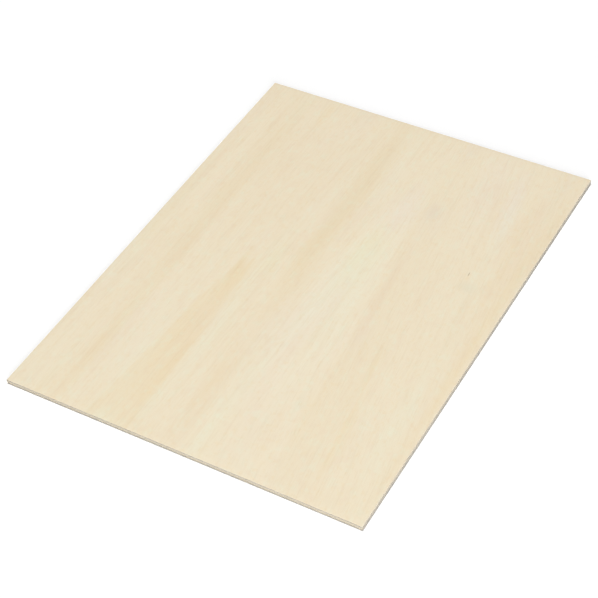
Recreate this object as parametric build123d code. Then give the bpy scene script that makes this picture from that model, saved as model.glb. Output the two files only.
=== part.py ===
from build123d import *
import os

# A thin plywood sheet of three crossed plies, lying flat with its better face up.
# Millimetres. The origin is the middle of the underside, +Z is up and the face grain runs along Y.

# Outline of the trimmed sheet
sheet_length = 400.0
sheet_width = 300.0

# Plies, from the face down
face_veneer_thickness = 1.0
core_ply_thickness = 1.0
back_veneer_thickness = 1.0

# Sanding leaves the four upright corners and the rims of both outer faces slightly round
easing_radius = 0.3

# Heights of the two glue lines above the underside
lower_glue_line = back_veneer_thickness
upper_glue_line = lower_glue_line + core_ply_thickness


# One ply between a glue line and the next face up, sawn square to the outline that all three share
def saw_ply(lower_face_height, thickness):
    outline = Plane.XY.offset(lower_face_height) * Rectangle(sheet_width, sheet_length)
    return extrude(outline, thickness)


# Core ply: its grain runs across the sheet. Both its faces are glued, so only its corners are eased
core_ply = saw_ply(lower_glue_line, core_ply_thickness)
core_ply = fillet(core_ply.edges().filter_by(Axis.Z), easing_radius)

# Back veneer: its grain runs along the sheet, and its underside is the face that the sheet rests on
back_veneer = saw_ply(0, back_veneer_thickness)
back_corners = back_veneer.edges().filter_by(Axis.Z)
back_rim = back_veneer.edges().group_by(Axis.Z)[0]
back_veneer = fillet(back_corners + back_rim, easing_radius)

# Face veneer: its grain runs along the sheet, and its upper face is the one on show
face_veneer = saw_ply(upper_glue_line, face_veneer_thickness)
face_corners = face_veneer.edges().filter_by(Axis.Z)
face_rim = face_veneer.edges().group_by(Axis.Z)[-1]
face_veneer = fillet(face_corners + face_rim, easing_radius)

plies = {
    "face_veneer": face_veneer,
    "core_ply": core_ply,
    "back_veneer": back_veneer,
}

os.makedirs("parts", exist_ok=True)
for name, ply in plies.items():
    export_step(ply, f"parts/{name}.step")
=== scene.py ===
from math import radians

import bmesh
import bpy
from mathutils import Matrix, Vector, noise


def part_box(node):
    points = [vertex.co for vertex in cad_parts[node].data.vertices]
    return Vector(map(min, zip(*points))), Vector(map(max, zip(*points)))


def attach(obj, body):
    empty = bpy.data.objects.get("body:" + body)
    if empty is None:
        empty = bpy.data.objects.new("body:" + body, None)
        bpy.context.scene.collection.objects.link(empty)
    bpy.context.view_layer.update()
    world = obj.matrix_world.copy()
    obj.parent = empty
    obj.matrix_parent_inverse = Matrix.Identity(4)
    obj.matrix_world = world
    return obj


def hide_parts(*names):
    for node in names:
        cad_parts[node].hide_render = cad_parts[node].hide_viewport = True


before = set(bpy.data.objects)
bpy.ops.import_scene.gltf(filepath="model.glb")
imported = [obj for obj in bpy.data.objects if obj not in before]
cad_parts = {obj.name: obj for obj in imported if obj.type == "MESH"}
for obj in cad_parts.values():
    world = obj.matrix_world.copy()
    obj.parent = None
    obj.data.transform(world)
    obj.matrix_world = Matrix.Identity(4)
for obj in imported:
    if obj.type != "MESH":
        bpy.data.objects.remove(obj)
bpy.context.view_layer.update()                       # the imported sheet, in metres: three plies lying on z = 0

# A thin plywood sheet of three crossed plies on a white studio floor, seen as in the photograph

mm = 0.001                              # the scene is in metres
print("Frame loaded:", ", ".join(sorted(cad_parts)))


# Small tools

def linearColour(hexCode):              # sRGB hex to linear RGBA
    channels = [int(hexCode[i:i + 2], 16) / 255 for i in (1, 3, 5)]
    return [c / 12.92 if c <= 0.04045 else ((c + 0.055) / 1.055) ** 2.4 for c in channels] + [1.0]


# Adds one node. Its links map a socket's name or number to a value, a socket or a node
def addNode(tree, kind, settings=None, links=None):
    node = tree.nodes.new(kind)
    for setting, value in (settings or {}).items():
        setattr(node, setting, value)
    for socket, source in (links or {}).items():
        if isinstance(source, bpy.types.Node):
            source = source.outputs[0]
        if isinstance(source, bpy.types.NodeSocket):
            tree.links.new(source, node.inputs[socket])
        else:
            node.inputs[socket].default_value = source
    return node


def newMaterial(name):
    material = bpy.data.materials.new(name)
    material.use_nodes = True
    material.node_tree.nodes.clear()
    return material, material.node_tree


def newPiece(name, bm):
    mesh = bpy.data.meshes.new(name)
    bm.to_mesh(mesh)
    bm.free()
    piece = bpy.data.objects.new(name, mesh)
    bpy.context.scene.collection.objects.link(piece)
    return piece


# Camera, at the photograph's viewing angle

photoView = {
    "azimuth": 32.36,                   # degrees round from the near short edge, towards its right
    "elevation": 44.65,                 # degrees above the floor
    "roll": -4.08,                      # the camera was held a little askew
    "distance": 1.3089,                 # metres from the point aimed at
    "aimAt": (0.0018, -0.0254, 0.0),    # the point in mid frame, a little nearer than the sheet's middle
    "focalPixels": 1691,                # focal length in pixels of the frame
    "framePixels": 598,
    "sensorWidth": 36,                  # millimetres
    "clip": (0.01, 20),                 # nearest and farthest that is drawn, in metres
}


def placeCamera(view):
    lens = bpy.data.cameras.new("photoCamera")
    lens.sensor_width = view["sensorWidth"]
    lens.lens = view["focalPixels"] / view["framePixels"] * view["sensorWidth"]
    lens.clip_start, lens.clip_end = view["clip"]
    camera = bpy.data.objects.new("photoCamera", lens)
    bpy.context.scene.collection.objects.link(camera)
    turn = (Matrix.Rotation(radians(view["azimuth"]), 4, "Z")
            @ Matrix.Rotation(radians(90 - view["elevation"]), 4, "X")
            @ Matrix.Rotation(radians(view["roll"]), 4, "Z"))
    back = turn.to_3x3() @ Vector((0, 0, view["distance"]))
    camera.matrix_world = Matrix.Translation(Vector(view["aimAt"]) + back) @ turn
    bpy.context.scene.camera = camera


placeCamera(photoView)
print("Camera placed")


# Studio: a white floor under a soft box, a low soft box at the right and an even white surround

studio = {
    "floorSize": 6.0,                   # metres
    "floorGap": 0.8 * mm,               # no sheet lies dead flat: it bears here and there, and a gap shows
    "floorColour": "#fcfcfc",
    "floorGlow": 0.07,                  # added for the camera alone, so that the lit floor reads white
    "farGlow": 0.6,                     # the same where the lamps no longer reach
    "farFrom": 0.3, "farTo": 1.4,       # metres from the sheet's middle
    "surroundColour": "#ffffff",
    "surroundLight": 0.10,              # light from all round, as a share of the plain level
}
keyLamp = {
    "size": 0.5,                        # metres, a square soft box
    "from": (-0.62, 0.42, 4.8),         # overhead, a little to the left of the sheet and behind it
    "watts": 178,
}
sideLamp = {
    "size": 1.2,
    "from": (1.25, -1.6, 0.62),         # low in front and to the right, on the two edges that show
    "watts": 24,
}


def paleRays(tree):                     # 1 for the rays that should see the white background
    path = addNode(tree, "ShaderNodeLightPath")
    seen = addNode(tree, "ShaderNodeMath", {"operation": "MAXIMUM"},
                   {0: path.outputs["Is Camera Ray"], 1: path.outputs["Is Glossy Ray"]})
    return addNode(tree, "ShaderNodeMath", {"operation": "MAXIMUM"},
                   {0: seen, 1: path.outputs["Is Transmission Ray"]})


def layFloor(look):
    material, tree = newMaterial("whiteStudioPaper")
    matte = addNode(tree, "ShaderNodeBsdfDiffuse", links={"Color": linearColour(look["floorColour"])})
    coordinates = addNode(tree, "ShaderNodeTexCoord")
    away = addNode(tree, "ShaderNodeVectorMath", {"operation": "LENGTH"}, {0: coordinates.outputs["Object"]})
    rising = addNode(tree, "ShaderNodeMapRange", {"interpolation_type": "SMOOTHSTEP"}, {
        "Value": away.outputs["Value"], "From Min": look["farFrom"], "From Max": look["farTo"],
        "To Min": look["floorGlow"], "To Max": look["farGlow"]})
    glowStrength = addNode(tree, "ShaderNodeMath", {"operation": "MULTIPLY"}, {0: paleRays(tree), 1: rising})
    glow = addNode(tree, "ShaderNodeEmission", links={"Strength": glowStrength})
    both = addNode(tree, "ShaderNodeAddShader", links={0: matte, 1: glow})
    addNode(tree, "ShaderNodeOutputMaterial", links={"Surface": both})
    bm = bmesh.new()
    bmesh.ops.create_grid(bm, x_segments=1, y_segments=1, size=look["floorSize"] / 2)
    bmesh.ops.translate(bm, verts=bm.verts, vec=(0, 0, -look["floorGap"]))
    floor = newPiece("studioFloor", bm)
    floor.data.materials.append(material)


def makeSurround(look):
    world = bpy.data.worlds.new("whiteSurround")
    world.use_nodes = True
    tree = world.node_tree
    tree.nodes.clear()
    strength = addNode(tree, "ShaderNodeMapRange", links={
        "Value": paleRays(tree), "To Min": look["surroundLight"], "To Max": 1.0})
    light = addNode(tree, "ShaderNodeBackground", links={
        "Color": linearColour(look["surroundColour"]), "Strength": strength})
    addNode(tree, "ShaderNodeOutputWorld", links={"Surface": light})
    bpy.context.scene.world = world


def hangLamp(name, look):
    light = bpy.data.lights.new(name, "AREA")
    light.size = look["size"]
    light.energy = look["watts"]
    lamp = bpy.data.objects.new(name, light)
    bpy.context.scene.collection.objects.link(lamp)
    lamp.location = look["from"]
    lamp.rotation_mode = "QUATERNION"
    lamp.rotation_quaternion = (-Vector(look["from"])).to_track_quat("-Z", "Y")


layFloor(studio)
makeSurround(studio)
hangLamp("keyLamp", keyLamp)
hangLamp("sideLamp", sideLamp)
bpy.context.scene.view_settings.view_transform = "Standard"
print("Studio set: floor, surround and two soft boxes")


# Wood. All three plies are lime, a pale, even hardwood with hardly any pores, peeled from the log in one
# long shaving and dried flat. Peeling leaves wide soft figure that runs with the grain. Sizes and places
# are in millimetres on the sheet, from its middle, with x to the right and y away from the near edge

tints = {
    "heartOchre": "#e4c480",            # the log's warmer inner wood
    "heartBrown": "#d7bc87",
    "sapWhite": "#e4f0dc",              # pale, faintly green outer wood
    "springCream": "#f4ecd8",           # its palest, fastest-grown wood
    "youngGreen": "#e0e9ba",            # sapwood laid down last, still greenish
    "lilacWhite": "#e9dfd8",            # sapwood with a faint blue stain
    "mineralGrey": "#c3b6b9",
    "mossGrey": "#bfc6b2",
    "pinkBrown": "#e1c5aa",
    "fibreShade": "#c4a878",
    "barkFleck": "#7a6248",
    "glueFilm": "#a89c88",
    "openEnds": "#b0aaa1",              # sawn across: dark fibre ends
    "sawnFuzz": "#dcd8d1",              # sawn along: raised pale fibres
}

# What every ply of the log shows, from the broadest band to the finest fibre. Each size is across the
# grain, along it and through the ply; the tint comes in where a noise of that size lies between the limits
limeGrain = [
    {"size": (46, 800, 30), "limits": (0.45, 0.70), "tint": "heartBrown", "strength": 0.05},
    {"size": (17, 300, 12), "limits": (0.50, 0.72), "tint": "heartOchre", "strength": 0.05},
    {"size": (15, 150, 12), "limits": (0.50, 0.74), "tint": "sapWhite", "strength": 0.09},
    {"size": (20, 110, 14), "limits": (0.50, 0.74), "tint": "lilacWhite", "strength": 0.09},
    {"size": (11, 90, 9), "limits": (0.52, 0.74), "tint": "pinkBrown", "strength": 0.11},
    # Mottle, where the fibres dip into the face and out again
    {"size": (7, 10, 1.5), "limits": (0.50, 0.74), "tint": "pinkBrown", "strength": 0.12},
    {"size": (5, 7.5, 1.2), "limits": (0.50, 0.74), "tint": "sapWhite", "strength": 0.14},
    # Bundles of fibres, and ray flecks. Real flecks are under 1 mm, too fine to show
    {"size": (3.2, 90, 0.9), "limits": (0.50, 0.75), "tint": "heartBrown", "strength": 0.08},
    {"size": (2.3, 4, 0.8), "limits": (0.50, 0.74), "tint": "heartOchre", "strength": 0.12},
    # Fibres, and the few open pores. Real ones are under 0.1 mm, and these are as coarse as they need to be
    {"size": (1.5, 34, 0.5), "limits": (0.48, 0.75), "tint": "fibreShade", "strength": 0.08},
    {"size": (0.5, 14, 0.3), "limits": (0.50, 0.78), "tint": "fibreShade", "strength": 0.12},
    {"size": (0.45, 3.2, 0.3), "limits": (0.70, 0.80), "tint": "barkFleck", "strength": 0.10},
]

# Each ply's endShade and sideShade set how much of the sawn tint its edges take. Part of that is the saw's own
# darkening and fuzz, and part is painted light and shade set per ply: the top ply's sawn edges are painted
# darker, and the bottom ply's end grain is left pale against the shade near the floor
faceVeneer = {
    "node": "face_veneer", "slot": "face_veneer_wood", "piece": "faceVeneerSheet",
    "base": "#ecdfc4",
    "grainTurn": 0,                     # degrees from the sheet's length
    "endShade": 0.64, "sideShade": 0.60,        # share of sawn tint on its two kinds of edge, partly the saw's and partly painted shade
    "shift": (0, 0, 0),                 # which part of the log it comes from, in cells of each noise
    "fan": 0.12, "fanFrom": 5, "fanTo": 75,     # the grain spreads to the right over this stretch
    "glueAt": ["top of core"],
    # The log's figure where the knife came near its heart, from the left of the sheet to the right. A patch
    # reaches so far each way from its middle, across the grain and along it, and a flame from its point.
    # It leans by degrees, and fades out over the soft share of its reach, or all of it where none is given
    "figure": [
        # A dull strip along the left edge, and pale wood beside it
        {"at": (-146, 30), "reach": (9, 120), "tint": "heartBrown", "strength": 0.08},
        {"at": (-143, 20), "reach": (7, 120), "tint": "heartOchre", "strength": 0.06},
        {"at": (-141, 60), "reach": (6, 65), "tint": "pinkBrown", "strength": 0.13},
        {"at": (-129, 90), "reach": (10, 140), "tint": "springCream", "strength": 0.20},
        {"at": (-131, -45), "reach": (7, 45), "tint": "springCream", "strength": 0.18},
        {"at": (-124, -168), "reach": (8, 50), "tint": "sapWhite", "strength": 0.10},
        # Two long dull bands, and the wood between them and the flame
        {"at": (-110, 20), "reach": (11, 260), "tint": "heartBrown", "strength": 0.07},
        {"at": (-107, 10), "reach": (10, 230), "tint": "heartOchre", "strength": 0.045},
        {"at": (-116, 52), "reach": (7, 50), "tint": "heartOchre", "strength": 0.07},
        {"at": (-108, -150), "reach": (9, 110), "tint": "heartOchre", "strength": 0.10},
        {"at": (-82, 70), "reach": (17, 90), "tint": "heartBrown", "strength": 0.03},
        {"at": (-80, 115), "reach": (85, 150), "tint": "pinkBrown", "strength": 0.07},
        {"at": (-87, 178), "reach": (6, 26), "tint": "heartOchre", "strength": 0.12},
        {"at": (-84, -95), "reach": (14, 130), "tint": "sapWhite", "strength": 0.05},
        # The flame: a pointed arch of heartwood, deepest near its point and down its right rim
        {"shape": "flame", "at": (-53.5, 4), "reach": (18.5, 205), "lean": -2, "soft": 0.08,
         "tint": "heartOchre", "strength": 0.12},
        {"at": (-54, -34), "reach": (9, 42), "soft": 0.80, "tint": "heartOchre", "strength": 0.16},
        {"at": (-57, -8), "reach": (4, 26), "tint": "heartOchre", "strength": 0.16},
        {"at": (-60, -125), "reach": (15, 75), "tint": "heartOchre", "strength": 0.05},
        {"at": (-48.5, -136), "reach": (4, 54), "soft": 0.50, "tint": "heartOchre", "strength": 0.08},
        # Pale wood at the foot of the flame and along its right
        {"at": (-62, -206), "reach": (25, 26), "soft": 0.90, "tint": "sapWhite", "strength": 0.24},
        {"at": (-37, -90), "reach": (12, 130), "tint": "sapWhite", "strength": 0.08},
        {"at": (-41, -170), "reach": (7, 34), "tint": "sapWhite", "strength": 0.14},
        {"at": (-31, -198), "reach": (7, 20), "tint": "heartOchre", "strength": 0.12},
        # The dark streak that runs in from the far edge, its fainter end, and the wood in line with it
        {"at": (-15, 110), "reach": (15, 190), "tint": "heartBrown", "strength": 0.19},
        {"at": (-14, 40), "reach": (9, 75), "tint": "heartBrown", "strength": 0.06},
        {"at": (-14, 5), "reach": (14, 95), "tint": "heartOchre", "strength": 0.075},
        {"at": (-21, 40), "reach": (6, 40), "tint": "heartOchre", "strength": 0.07},
        {"at": (-3, 0), "reach": (8, 50), "tint": "heartBrown", "strength": 0.06},
        {"at": (-36, 0), "reach": (10, 34), "tint": "youngGreen", "strength": 0.13},
        {"at": (-9, 95), "reach": (7, 70), "tint": "heartOchre", "strength": 0.05},
        {"at": (-10, -125), "reach": (14, 150), "tint": "pinkBrown", "strength": 0.10},
        {"at": (-12, -128), "reach": (10, 52), "tint": "heartOchre", "strength": 0.10},
        # The pale tongue right of the middle, bluish at its tip, and the wood at its foot
        {"shape": "flame", "at": (27, 128), "reach": (38, 330), "lean": 1.4, "soft": 0.10,
         "tint": "springCream", "strength": 0.18},
        {"at": (27, 0), "reach": (27, 90), "lean": 1, "soft": 0.60, "tint": "sapWhite", "strength": 0.12},
        {"at": (29, 98), "reach": (22, 46), "lean": 1, "soft": 0.90, "tint": "lilacWhite", "strength": 0.24},
        {"at": (26, 35), "reach": (20, 62), "tint": "youngGreen", "strength": 0.16},
        {"at": (18, -70), "reach": (17, 70), "lean": 1, "tint": "lilacWhite", "strength": 0.09},
        {"at": (30, -80), "reach": (25, 90), "lean": 1, "soft": 0.70,
         "tint": "springCream", "strength": 0.09},
        {"at": (13, 0), "reach": (10, 100), "soft": 0.90, "tint": "springCream", "strength": 0.12},
        {"at": (9, -135), "reach": (9, 75), "tint": "sapWhite", "strength": 0.12},
        {"at": (10, -190), "reach": (8, 34), "tint": "sapWhite", "strength": 0.14},
        {"at": (45, -160), "reach": (18, 85), "tint": "pinkBrown", "strength": 0.10},
        {"at": (57, -125), "reach": (6, 36), "lean": 4, "tint": "sapWhite", "strength": 0.14},
        # The pinkish rim on its right, and the bands that fan out beyond it
        {"at": (58, 165), "reach": (14, 65), "tint": "springCream", "strength": 0.10},
        {"at": (46, 192), "reach": (12, 34), "tint": "lilacWhite", "strength": 0.18},
        {"at": (62, 98), "reach": (10, 34), "tint": "lilacWhite", "strength": 0.12},
        {"at": (59, 0), "reach": (6, 105), "lean": 5, "tint": "pinkBrown", "strength": 0.22},
        {"at": (80, 155), "reach": (26, 85), "lean": 5, "tint": "lilacWhite", "strength": 0.16},
        {"at": (90, -80), "reach": (3, 75), "lean": 8, "tint": "heartOchre", "strength": 0.12},
        {"at": (99, -140), "reach": (6, 60), "lean": 5, "tint": "heartOchre", "strength": 0.17},
        {"at": (106, 142), "reach": (12, 65), "lean": 6, "tint": "lilacWhite", "strength": 0.30},
        {"at": (111, 115), "reach": (8, 60), "lean": 6, "tint": "sapWhite", "strength": 0.14},
        # The wood by the right edge, pinkish at the far end, with an orange line down it
        {"at": (132, 115), "reach": (13, 130), "lean": 2, "tint": "pinkBrown", "strength": 0.18},
        {"at": (136, 186), "reach": (10, 34), "tint": "pinkBrown", "strength": 0.12},
        {"at": (146, 110), "reach": (8, 130), "tint": "heartBrown", "strength": 0.14},
        {"at": (144, -30), "reach": (6, 230), "lean": 1, "tint": "heartOchre", "strength": 0.12},
        {"at": (128, -120), "reach": (11, 90), "lean": 4, "tint": "sapWhite", "strength": 0.12},
    ],
    # Small marks, drawn at their real size
    "marks": [
        {"at": (52, 107), "reach": (11, 19), "lean": 5, "tint": "mineralGrey", "strength": 0.15},
        {"at": (113, 41), "reach": (13, 9), "tint": "mossGrey", "strength": 0.14},
        {"at": (131, 42), "reach": (9, 10), "tint": "pinkBrown", "strength": 0.16},
        {"at": (108.4, 55), "reach": (0.6, 3.4), "lean": 4, "soft": 0.80,
         "tint": "barkFleck", "strength": 0.50},
        {"at": (-73, -62), "reach": (7, 10), "tint": "sapWhite", "strength": 0.16},
    ],
}
corePly = {
    "node": "core_ply", "slot": "core_ply_wood", "piece": "corePlySheet",
    "base": "#e9dabb",
    "grainTurn": 90,                    # crosses the two outer plies
    "endShade": 0.42, "sideShade": 0.50,
    "shift": (17.3, 5.1, 2.7),
    "glueAt": ["top of core", "foot of core"],
}
backVeneer = {
    "node": "back_veneer", "slot": "back_veneer_wood", "piece": "backVeneerSheet",
    "base": "#e6d6b6",                  # the duller side of the shaving
    "grainTurn": 0,
    # its end grain takes little of the sawn tint: a painted lift against the shade near the floor
    "endShade": 0.10, "sideShade": 0.45,
    "shift": (41.9, 11.4, 8.2),
    "fan": -0.05, "fanFrom": -60, "fanTo": 90,
    "glueAt": ["foot of core"],
    "figure": [
        {"at": (70, 30), "reach": (22, 420), "lean": -2, "tint": "heartBrown", "strength": 0.14},
        {"at": (-20, -60), "reach": (30, 380), "lean": -1, "tint": "sapWhite", "strength": 0.14},
        {"at": (-96, 90), "reach": (12, 260), "tint": "heartOchre", "strength": 0.12},
    ],
}

# How each surface was made. Sanding leaves the two faces even and matte. The saw opens the fibres where it
# crosses them, which reads darker and greyer, and raises long pale ribs where it runs along them. Relief is
# in millimetres, saw marks add to the ply's own shade where teeth scored it, and glue is how much films stain.
# A ply's own shade is partly the saw's and partly painted light and shade, set per ply
cuts = {
    "sanded": {"wood": "sandedLime", "roughness": 0.70, "relief": 0.012},
    "endGrain": {"wood": "sawnLimeEndGrain", "roughness": 0.78, "relief": 0.05,
                 "tint": "openEnds", "shade": "endShade", "sawMarks": 0.30, "glue": 0.35},
    "sideGrain": {"wood": "sawnLimeSideGrain", "roughness": 0.70, "relief": 0.03,
                  "tint": "sawnFuzz", "shade": "sideShade", "sawMarks": 0.20, "glue": 0.35},
}
bareWood = {"IOR": 1.48, "Specular IOR Level": 0.3}                # unsealed, so it hardly shines

# Sizes of these are in millimetres too, across the grain, along it and through the ply
grainDrift = {"size": (80, 300, 80), "across": 9}                 # the grain wanders sideways, broadly
grainWave = {"size": (14, 55, 14), "across": 1.2}                 # and in small waves
figureFray = {"size": (6, 90, 6), "across": 2.2, "along": 22}      # how far the figure's outline strays
toothLines = {"size": (0.45, 0.45, 9), "limits": (0.4, 0.7)}      # upright lines that the saw leaves
glueReach = 0.14                        # how far a glue film stains the wood on each side of it
noiseMiddle = (0.5, 0.5, 0.5)           # each channel of a noise texture runs from 0 to 1


def patternNoise(tree, place, size, shift, detail):     # a noise with cells of a real size
    cells = addNode(tree, "ShaderNodeMapping", links={
        "Vector": place, "Location": shift, "Scale": [1 / length for length in size]})
    return addNode(tree, "ShaderNodeTexNoise", links={"Vector": cells, "Scale": 1.0, "Detail": detail})


# Lays a tint over the colour: none where the pattern is at the first limit, full strength at the second
def layTint(tree, colour, pattern, limits, tint, strength):
    amount = addNode(tree, "ShaderNodeMapRange", {"interpolation_type": "SMOOTHSTEP"}, {
        "Value": pattern, "From Min": limits[0], "From Max": limits[1], "To Max": strength})
    return addNode(tree, "ShaderNodeMix", {"data_type": "RGBA"}, {
        "Factor": amount, "A": colour, "B": linearColour(tints[tint])}).outputs["Result"]


# One patch of figure. A spindle fades out all round its middle, and a flame is a pointed arch that opens
# towards the near edge
def layFigure(tree, place, colour, patch):
    isFlame = patch.get("shape") == "flame"
    soft = patch.get("soft", 1)
    across, along = patch["reach"]
    local = addNode(tree, "ShaderNodeMapping", {"vector_type": "TEXTURE"}, {
        "Vector": place, "Location": (*patch["at"], 0), "Rotation": (0, 0, radians(patch.get("lean", 0))),
        "Scale": (across, -along if isFlame else along, 1)})
    axes = addNode(tree, "ShaderNodeSeparateXYZ", links={0: local})
    acrossSquared = addNode(tree, "ShaderNodeMath", {"operation": "MULTIPLY"},
                            {0: axes.outputs["X"], 1: axes.outputs["X"]})
    if isFlame:
        inside = addNode(tree, "ShaderNodeMath", {"operation": "SUBTRACT"},
                         {0: axes.outputs["Y"], 1: acrossSquared})
        limits = (0, soft)
    else:
        bothSquared = addNode(tree, "ShaderNodeMath", {"operation": "MULTIPLY_ADD"},
                              {0: axes.outputs["Y"], 1: axes.outputs["Y"], 2: acrossSquared})
        inside = addNode(tree, "ShaderNodeMath", {"operation": "SQRT"}, {0: bothSquared})
        limits = (1, 1 - soft)
    return layTint(tree, colour, inside, limits, patch["tint"], patch["strength"])


# The place on the sheet in mm, with y along this ply's grain, which may fan out to the right
def grainPlace(tree, place, ply):
    turned = addNode(tree, "ShaderNodeMapping", links={
        "Vector": place, "Rotation": (0, 0, radians(ply["grainTurn"]))})
    axes = addNode(tree, "ShaderNodeSeparateXYZ", links={0: turned})
    across = axes.outputs["X"]
    if "fan" in ply:
        spread = addNode(tree, "ShaderNodeMapRange", {"interpolation_type": "SMOOTHSTEP"}, {
            "Value": across, "From Min": ply["fanFrom"], "From Max": ply["fanTo"], "To Max": ply["fan"]})
        across = addNode(tree, "ShaderNodeMath", {"operation": "MULTIPLY_ADD"},
                         {0: axes.outputs["Y"], 1: spread, 2: across})
    for bend in (grainDrift, grainWave):
        sway = patternNoise(tree, turned, bend["size"], ply["shift"], detail=1)
        across = addNode(tree, "ShaderNodeMath", {"operation": "MULTIPLY_ADD"},
                         {0: sway, 1: bend["across"], 2: across})
    return addNode(tree, "ShaderNodeCombineXYZ", links={
        "X": across, "Y": axes.outputs["Y"], "Z": axes.outputs["Z"]})


# The place with its outline frayed along the grain, for the figure
def frayedPlace(tree, place, grain, ply):
    sway = patternNoise(tree, grain, figureFray["size"], ply["shift"], detail=2)
    centred = addNode(tree, "ShaderNodeVectorMath", {"operation": "SUBTRACT"},
                      {0: sway.outputs["Color"], 1: noiseMiddle})
    fullStray = (figureFray["across"] * 2, figureFray["along"] * 2, 0)      # from one side to the other
    return addNode(tree, "ShaderNodeVectorMath", {"operation": "MULTIPLY_ADD"},
                   {0: centred, 1: fullStray, 2: place})


def plyMaterial(ply, cutName, glueHeights):
    cut = cuts[cutName]
    material, tree = newMaterial(cut["wood"] + "_" + ply["piece"])
    coordinates = addNode(tree, "ShaderNodeTexCoord")
    place = addNode(tree, "ShaderNodeMapping", links={
        "Vector": coordinates.outputs["Object"], "Scale": [1 / mm] * 3})
    grain = grainPlace(tree, place, ply)
    frayed = frayedPlace(tree, place, grain, ply)

    colour = linearColour(ply["base"])
    for patch in ply.get("figure", []):
        colour = layFigure(tree, frayed, colour, patch)
    for patch in ply.get("marks", []):
        colour = layFigure(tree, place, colour, patch)
    for layer in limeGrain:
        pattern = patternNoise(tree, grain, layer["size"], ply["shift"], detail=2)
        colour = layTint(tree, colour, pattern, layer["limits"], layer["tint"], layer["strength"])
    relief = pattern                    # the last layer, the pores, is what a finger would feel

    if "sawMarks" in cut:
        # How much sawn tint the edge takes: the saw's darkening and fuzz, plus painted light and shade set per
        # ply
        shade = ply[cut["shade"]]
        teeth = patternNoise(tree, place, toothLines["size"], ply["shift"], detail=1)
        sawTintAndPaintedShading = addNode(tree, "ShaderNodeMapRange", links={
            "Value": teeth, "From Min": toothLines["limits"][0], "From Max": toothLines["limits"][1],
            "To Min": shade, "To Max": shade + cut["sawMarks"]})
        colour = addNode(tree, "ShaderNodeMix", {"data_type": "RGBA"}, {
            "Factor": sawTintAndPaintedShading, "A": colour, "B": linearColour(tints[cut["tint"]])}).outputs["Result"]
        relief = addNode(tree, "ShaderNodeMath", {"operation": "ADD"}, {0: relief, 1: teeth})

        height = addNode(tree, "ShaderNodeSeparateXYZ", links={0: place}).outputs["Z"]
        for glueHeight in glueHeights:
            away = addNode(tree, "ShaderNodeMath", {"operation": "SUBTRACT"}, {0: height, 1: glueHeight})
            distance = addNode(tree, "ShaderNodeMath", {"operation": "ABSOLUTE"}, {0: away})
            colour = layTint(tree, colour, distance, (glueReach, 0), "glueFilm", cut["glue"])

    bump = addNode(tree, "ShaderNodeBump", links={"Height": relief, "Distance": cut["relief"] * mm})
    wood = addNode(tree, "ShaderNodeBsdfPrincipled", links={
        "Base Color": colour, "Roughness": cut["roughness"], "Normal": bump, **bareWood})
    addNode(tree, "ShaderNodeOutputMaterial", links={"Surface": wood})
    return material


# Plies, each a thin board of its own between the heights that the frame gives

plySizes = {
    "cells": (60, 80),                  # faces across and along the sheet
    "easing": 0.3 * mm,                 # sanded corners and outer rims
    "easingSteps": 4,
    "glueRim": 0.04 * mm,               # the saw breaks the arris at a glue film a little
    "glueRimSteps": 1,
    "waver": 0.03 * mm,                 # how far the sawn edges stray inwards
    "waverLength": 22 * mm,
    "waverBand": 1.5,                   # times the easing: how far in from the outline that reaches
    "courseShift": 40,                  # times a ply's height: each ply is given a stray of its own
    "sharpAngle": 24,                   # degrees past which an edge stays sharp
}


def isAt(height, other):                # to a thousandth of a millimetre
    return abs(height - other) < 0.001 * mm


def isLevel(face):
    return abs(face.normal.z) > 0.7


def bevelEdges(bm, edges, width, steps):
    bmesh.ops.bevel(bm, geom=edges, affect="EDGES", offset=width, offset_type="OFFSET",
                    segments=steps, profile=0.5, material=-1)
    bm.normal_update()


def squareBoard(low, high, cells):
    middle, extent = (low + high) / 2, high - low
    bm = bmesh.new()
    bmesh.ops.create_grid(bm, x_segments=cells[0], y_segments=cells[1], size=0.5)     # 1 m square
    bmesh.ops.scale(bm, verts=bm.verts, vec=(extent.x, extent.y, 1))
    bmesh.ops.translate(bm, verts=bm.verts, vec=(middle.x, middle.y, low.z))
    raised = bmesh.ops.extrude_face_region(bm, geom=bm.faces[:], use_keep_orig=True)["geom"]
    bmesh.ops.translate(bm, verts=[item for item in raised if isinstance(item, bmesh.types.BMVert)],
                        vec=(0, 0, extent.z))
    bmesh.ops.recalc_face_normals(bm, faces=bm.faces)
    return bm


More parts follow.
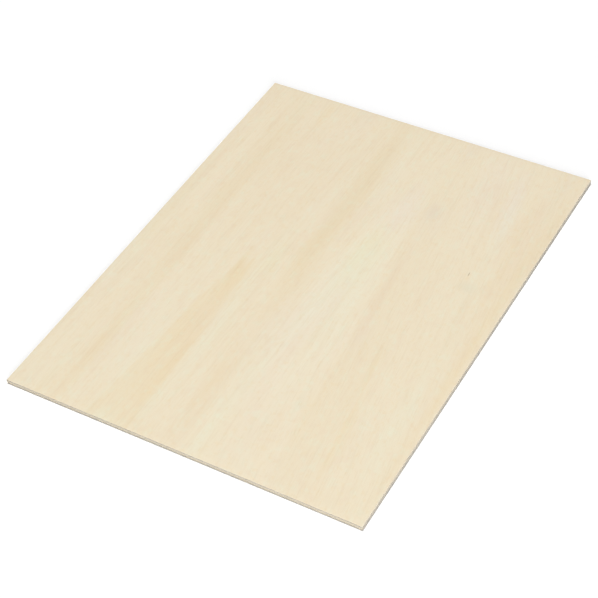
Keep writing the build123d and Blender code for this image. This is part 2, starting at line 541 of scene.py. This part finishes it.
def easeEdges(bm, heights, sizes, glueHeights):
    corners = [edge for edge in bm.edges
               if not isAt(edge.verts[0].co.z, edge.verts[1].co.z)
               and edge.calc_face_angle(0) > radians(sizes["sharpAngle"])]
    bevelEdges(bm, corners, sizes["easing"], sizes["easingSteps"])
    for height in heights:              # then each outline, where a face meets the sawn edge
        rim = [edge for edge in bm.edges
               if all(isAt(vert.co.z, height) for vert in edge.verts)
               and not all(isLevel(face) for face in edge.link_faces)]
        if any(isAt(height, glueHeight) for glueHeight in glueHeights):
            bevelEdges(bm, rim, sizes["glueRim"], sizes["glueRimSteps"])
        else:
            bevelEdges(bm, rim, sizes["easing"], sizes["easingSteps"])


def strayEdges(bm, low, high, sizes):   # the saw's path strays a little, always into the sheet
    middle, extent = (low + high) / 2, high - low
    band = sizes["easing"] * sizes["waverBand"]
    for vert in bm.verts:
        course = Vector((vert.co.x, vert.co.y, low.z * sizes["courseShift"])) / sizes["waverLength"]
        stray = sizes["waver"] * (0.5 + 0.5 * noise.noise(course))     # the noise runs from -1 to 1
        for axis in (0, 1):
            if abs(vert.co[axis] - middle[axis]) > extent[axis] / 2 - band:
                vert.co[axis] += stray if vert.co[axis] < middle[axis] else -stray
    bm.normal_update()


def cutOf(face, grainAxis):             # how the surface at this face was made
    if isLevel(face):
        return "sanded"
    crossesGrain = abs(face.normal[grainAxis]) > abs(face.normal[1 - grainAxis])
    return "endGrain" if crossesGrain else "sideGrain"


# Makes one ply out of its node's box: the board, its wood and what it stands for
def sawPly(ply, sizes, glueHeights):
    low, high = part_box(ply["node"])
    bm = squareBoard(low, high, sizes["cells"])
    easeEdges(bm, (low.z, high.z), sizes, glueHeights)
    strayEdges(bm, low, high, sizes)
    cutNames, grainAxis = list(cuts), 0 if ply["grainTurn"] else 1
    for face in bm.faces:
        face.material_index = cutNames.index(cutOf(face, grainAxis))
        face.smooth = True
    piece = newPiece(ply["piece"], bm)
    for cutName in cutNames:
        piece.data.materials.append(plyMaterial(ply, cutName, [height / mm for height in glueHeights]))
    piece.data.set_sharp_from_angle(angle=radians(sizes["sharpAngle"]))
    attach(piece, "root")
    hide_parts(ply["node"])


coreLow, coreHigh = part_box(corePly["node"])
glueLines = {"foot of core": coreLow.z, "top of core": coreHigh.z}
for ply in (backVeneer, corePly, faceVeneer):
    sawPly(ply, plySizes, [glueLines[line] for line in ply["glueAt"]])
    print("Ply laid:", ply["piece"])

bpy.context.view_layer.update()
